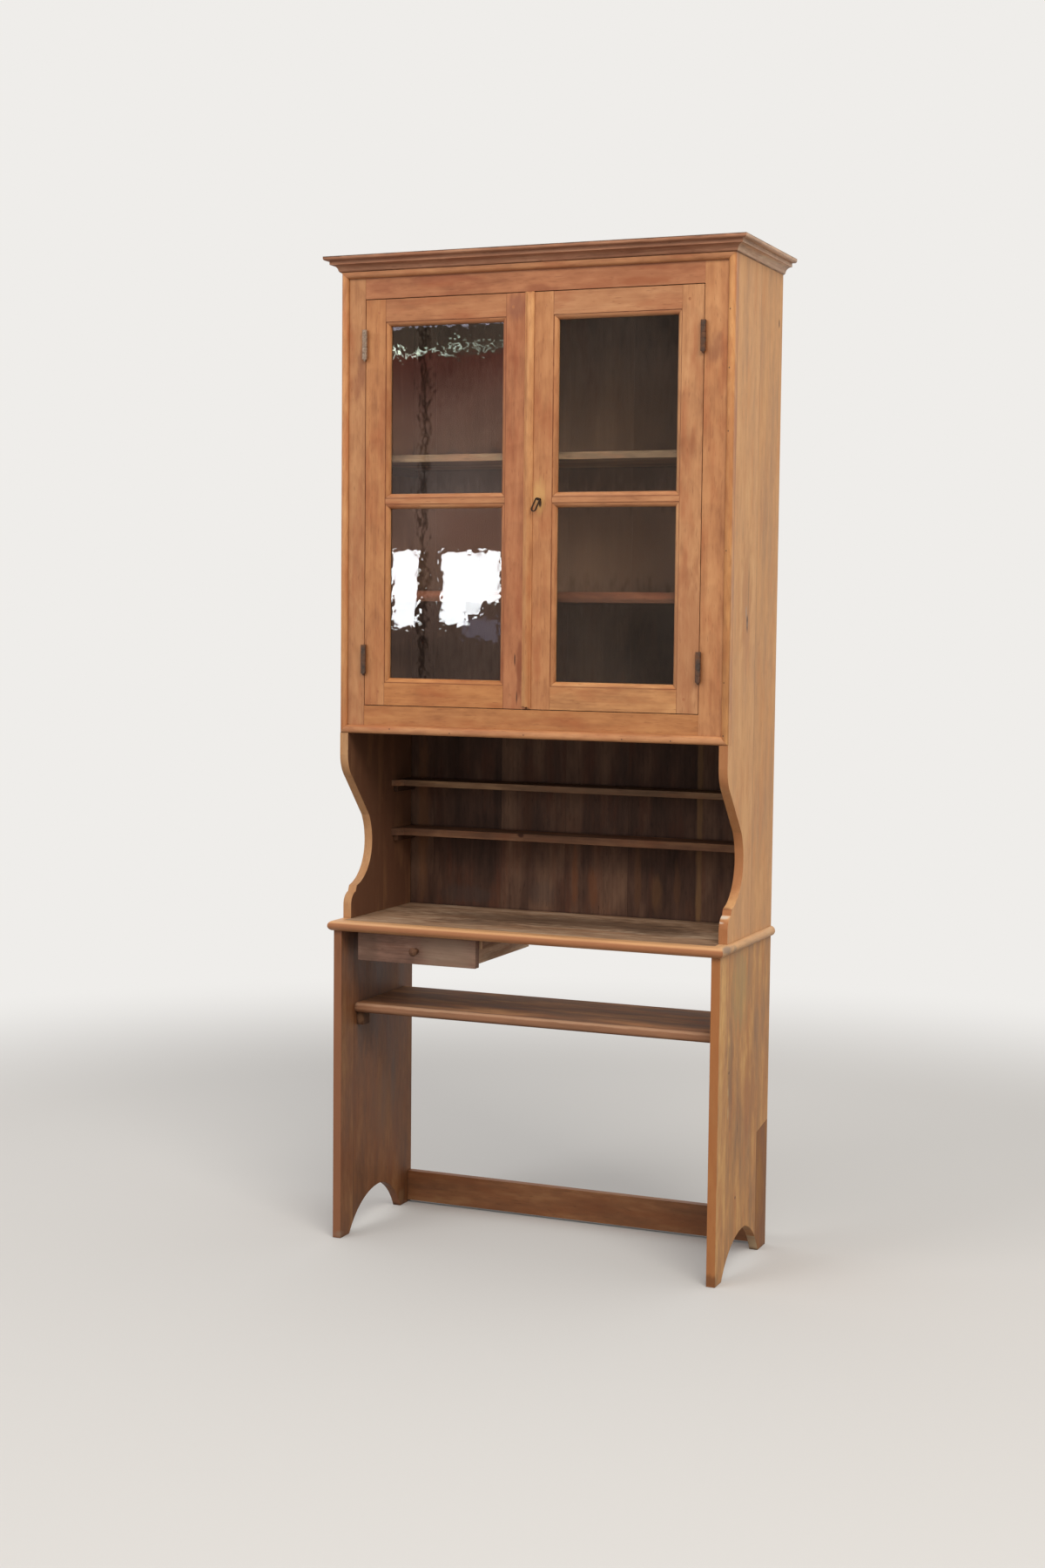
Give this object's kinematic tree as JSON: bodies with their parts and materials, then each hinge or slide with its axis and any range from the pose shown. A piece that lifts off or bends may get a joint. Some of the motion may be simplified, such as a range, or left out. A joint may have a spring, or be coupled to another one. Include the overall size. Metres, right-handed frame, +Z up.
{
  "type": "step back cupboard",
  "caption": "Tall narrow kitchen cupboard: glazed two-door cabinet with shaped sides over an open counter, a hung drawer and a lower shelf.",
  "frame": {"origin": "on the floor, in the middle of the width and of the counter's depth", "axes": "+X to the viewer's right, +Y to the back, +Z up"},
  "size_m": [0.8846, 0.3474, 2],
  "materials": {
    "honey_pine": "aged oiled pine",
    "tan_pine": "aged oiled pine",
    "dark_pine": "dark stained, matt",
    "counter_wood": "worn bare wood",
    "cornice_wood": "dark worn varnish",
    "drawer_wood": "grey weathered wood",
    "base_wood": "worn orange-brown pine",
    "old_glass": "clear, slightly wavy",
    "putty": "hard old linseed putty",
    "dark_iron": "dark, lightly rusted",
    "worn_steel": "dull wire and lock steel"
  },
  "bodies": {
    "carcase": {"back_boards": "dark_pine", "back_stretcher": "base_wood", "bead_bottom": "honey_pine", "bead_left": "honey_pine", "bead_right": "honey_pine", "bead_top": "honey_pine", "cabinet_floor": "dark_pine", "cabinet_shelf_lower": "dark_pine", "cabinet_shelf_upper": "dark_pine", "cabinet_top": "dark_pine", "cornice_front": "cornice_wood", "cornice_left": "cornice_wood", "cornice_right": "cornice_wood", "counter_nosing_front": "honey_pine", "counter_nosing_left": "honey_pine", "counter_nosing_right": "honey_pine", "counter_top": "counter_wood", "drawer_hangers": "drawer_wood", "frame_hinge_leaves": "dark_iron", "frame_rail_bottom": "honey_pine", "frame_rail_top": "honey_pine", "frame_stile_left": "honey_pine", "frame_stile_right": "honey_pine", "leg_left": "base_wood", "leg_right": "base_wood", "leg_right_patch": "dark_pine", "lower_shelf": "counter_wood", "plate_shelf_lower": "dark_pine", "plate_shelf_upper": "dark_pine", "shelf_cleats": "dark_pine", "side_left": "tan_pine", "side_right": "tan_pine"},
    "left_door": {"left_door_bar": "honey_pine", "left_door_bottom_rail": "honey_pine", "left_door_hinge_leaves": "dark_iron", "left_door_hinge_stile": "honey_pine", "left_door_meeting_stile": "honey_pine", "left_door_panes": "old_glass", "left_door_pegs": "honey_pine", "left_door_putty": "putty", "left_door_top_rail": "honey_pine"},
    "right_door": {"right_door_bar": "honey_pine", "right_door_bottom_rail": "honey_pine", "right_door_hinge_leaves": "dark_iron", "right_door_hinge_stile": "honey_pine", "right_door_meeting_stile": "honey_pine", "right_door_panes": "old_glass", "right_door_pegs": "honey_pine", "right_door_putty": "putty", "right_door_top_rail": "honey_pine", "cover_strip": "honey_pine", "lock_case": "dark_iron"},
    "drawer": {"drawer_front": "drawer_wood", "drawer_side_left": "drawer_wood", "drawer_side_right": "drawer_wood", "drawer_back": "drawer_wood", "drawer_bottom": "drawer_wood", "drawer_knob": "drawer_wood"},
    "key": {"key": "worn_steel"},
    "lock_bolt": {"lock_bolt": "worn_steel"}
  },
  "joints": [
    {"name": "right_door_swing", "type": "hinge", "parent": "carcase", "child": "right_door", "pos_m": [0.352, -0.13785, 1.5], "axis": [0, 0, 1], "range_deg": [0, 165]},
    {"name": "left_door_swing", "type": "hinge", "parent": "carcase", "child": "left_door", "pos_m": [-0.3615, -0.13785, 1.5], "axis": [0, 0, -1], "range_deg": [0, 165]},
    {"name": "drawer_slide", "type": "slide", "parent": "carcase", "child": "drawer", "axis": [0, -1, 0], "range_m": [0, 0.24]},
    {"name": "key_turn", "type": "hinge", "parent": "right_door", "child": "key", "pos_m": [0.0196, -0.13225, 1.514], "axis": [0, 1, 0], "range_deg": [0, 180]},
    {"name": "bolt_slide", "type": "slide", "parent": "right_door", "child": "lock_bolt", "axis": [-1, 0, 0], "range_m": [0, 0.012]}
  ],
  "couplings": [
    {"joint": "left_door_swing", "follows": "right_door_swing", "ratio": 1},
    {"joint": "bolt_slide", "follows": "key_turn", "m_per_rad": 0.0038197}
  ]
}
